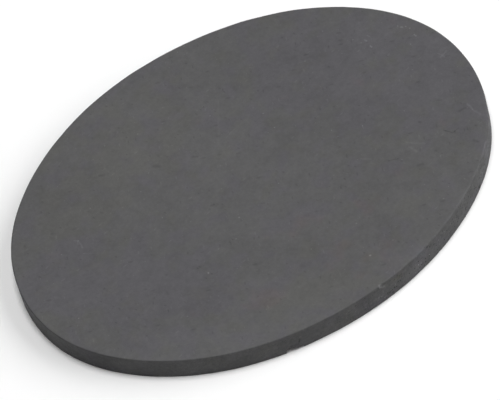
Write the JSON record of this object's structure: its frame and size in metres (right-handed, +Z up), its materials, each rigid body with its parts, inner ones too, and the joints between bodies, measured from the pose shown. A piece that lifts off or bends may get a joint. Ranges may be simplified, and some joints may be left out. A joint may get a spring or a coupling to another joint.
{
  "type": "massage stone",
  "caption": "Flat oval massage stone: one sawn slab of dark grey basalt with a straight rim, lightly worn edges and a small notch broken from its lower edge.",
  "frame": {"origin": "middle of the underside, the face that the stone rests on", "axes": "+X along the oval's length, +Y across its width, +Z up through the thickness, from the underside to the upper face"},
  "size_m": [0.1996, 0.1538, 0.0103],
  "materials": {
    "basalt": "matte"
  },
  "bodies": {
    "root": {"stone_plate": "basalt"}
  },
  "joints": []
}
